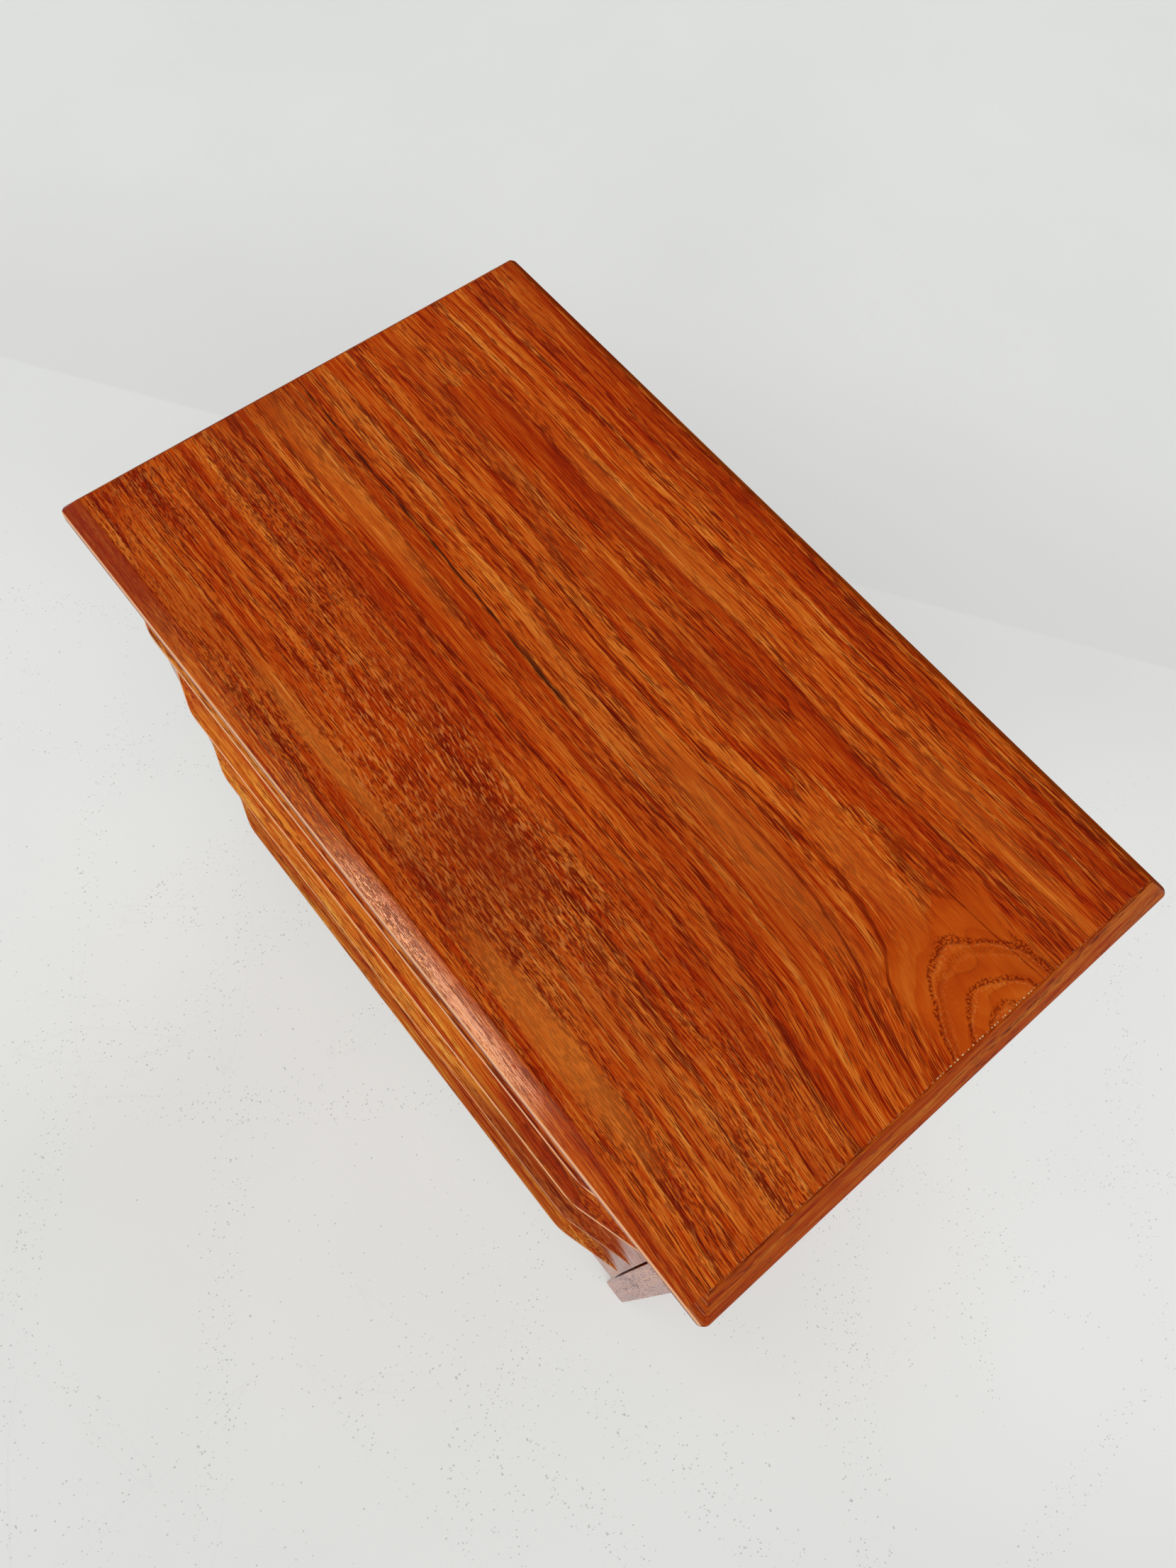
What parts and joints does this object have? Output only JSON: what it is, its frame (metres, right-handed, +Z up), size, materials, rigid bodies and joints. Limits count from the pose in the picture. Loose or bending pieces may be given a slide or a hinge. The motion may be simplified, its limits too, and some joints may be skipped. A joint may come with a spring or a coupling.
{
  "type": "sewing table",
  "caption": "Small lacquered teak chest on two side panels, with a mitred bevel-edged top and equal drawers whose full-width shaped lips serve as pulls; the top drawer is fitted for sewing.",
  "frame": {"origin": "on the floor, under the middle of the object's box", "axes": "+X to the right seen from the front, +Y from the front to the back, +Z up; the drawers open along -Y"},
  "size_m": [0.6, 0.3562, 0.52],
  "materials": {
    "teak_top": "satin lacquered teak veneer, grain along the length",
    "teak_lipping": "satin lacquered solid teak edge strips",
    "teak_front": "satin lacquered solid teak, grain along the length",
    "teak_case": "satin lacquered teak, upright grain on the sides",
    "beech": "pale beech, sanded and sealed",
    "ply": "pale plywood, sanded",
    "steel": "zinc-plated screws"
  },
  "bodies": {
    "case": {"back_panel": "teak_case", "case_bottom": "ply", "runner_1_left": "beech", "runner_1_right": "beech", "runner_2_left": "beech", "runner_2_right": "beech", "runner_3_left": "beech", "runner_3_right": "beech", "runner_4_left": "beech", "runner_4_right": "beech", "side_panel_left": "teak_case", "side_panel_right": "teak_case", "top_lipping_back": "teak_lipping", "top_lipping_front": "teak_lipping", "top_lipping_left": "teak_lipping", "top_lipping_right": "teak_lipping", "top_panel": "teak_top", "top_rail_front": "beech", "top_rail_front_screw_left": "steel", "top_rail_front_screw_right": "steel", "top_rail_rear": "beech", "top_rail_rear_screw_left": "steel", "top_rail_rear_screw_right": "steel"},
    "drawer_1": {"drawer_1_back": "beech", "drawer_1_bottom": "ply", "drawer_1_divider_long": "beech", "drawer_1_divider_short_1": "beech", "drawer_1_divider_short_2": "beech", "drawer_1_divider_short_3": "beech", "drawer_1_front": "teak_front", "drawer_1_side_left": "beech", "drawer_1_side_right": "beech"},
    "drawer_2": {"drawer_2_back": "beech", "drawer_2_bottom": "ply", "drawer_2_front": "teak_front", "drawer_2_side_left": "beech", "drawer_2_side_right": "beech"},
    "drawer_3": {"drawer_3_back": "beech", "drawer_3_bottom": "ply", "drawer_3_front": "teak_front", "drawer_3_side_left": "beech", "drawer_3_side_right": "beech"},
    "drawer_4": {"drawer_4_back": "beech", "drawer_4_bottom": "ply", "drawer_4_front": "teak_front", "drawer_4_side_left": "beech", "drawer_4_side_right": "beech"}
  },
  "joints": [
    {"name": "drawer_1_slide", "type": "slide", "parent": "case", "child": "drawer_1", "axis": [0, -1, 0], "range_m": [0, 0.22]},
    {"name": "drawer_2_slide", "type": "slide", "parent": "case", "child": "drawer_2", "axis": [0, -1, 0], "range_m": [0, 0.22]},
    {"name": "drawer_3_slide", "type": "slide", "parent": "case", "child": "drawer_3", "axis": [0, -1, 0], "range_m": [0, 0.22]},
    {"name": "drawer_4_slide", "type": "slide", "parent": "case", "child": "drawer_4", "axis": [0, -1, 0], "range_m": [0, 0.22]}
  ]
}
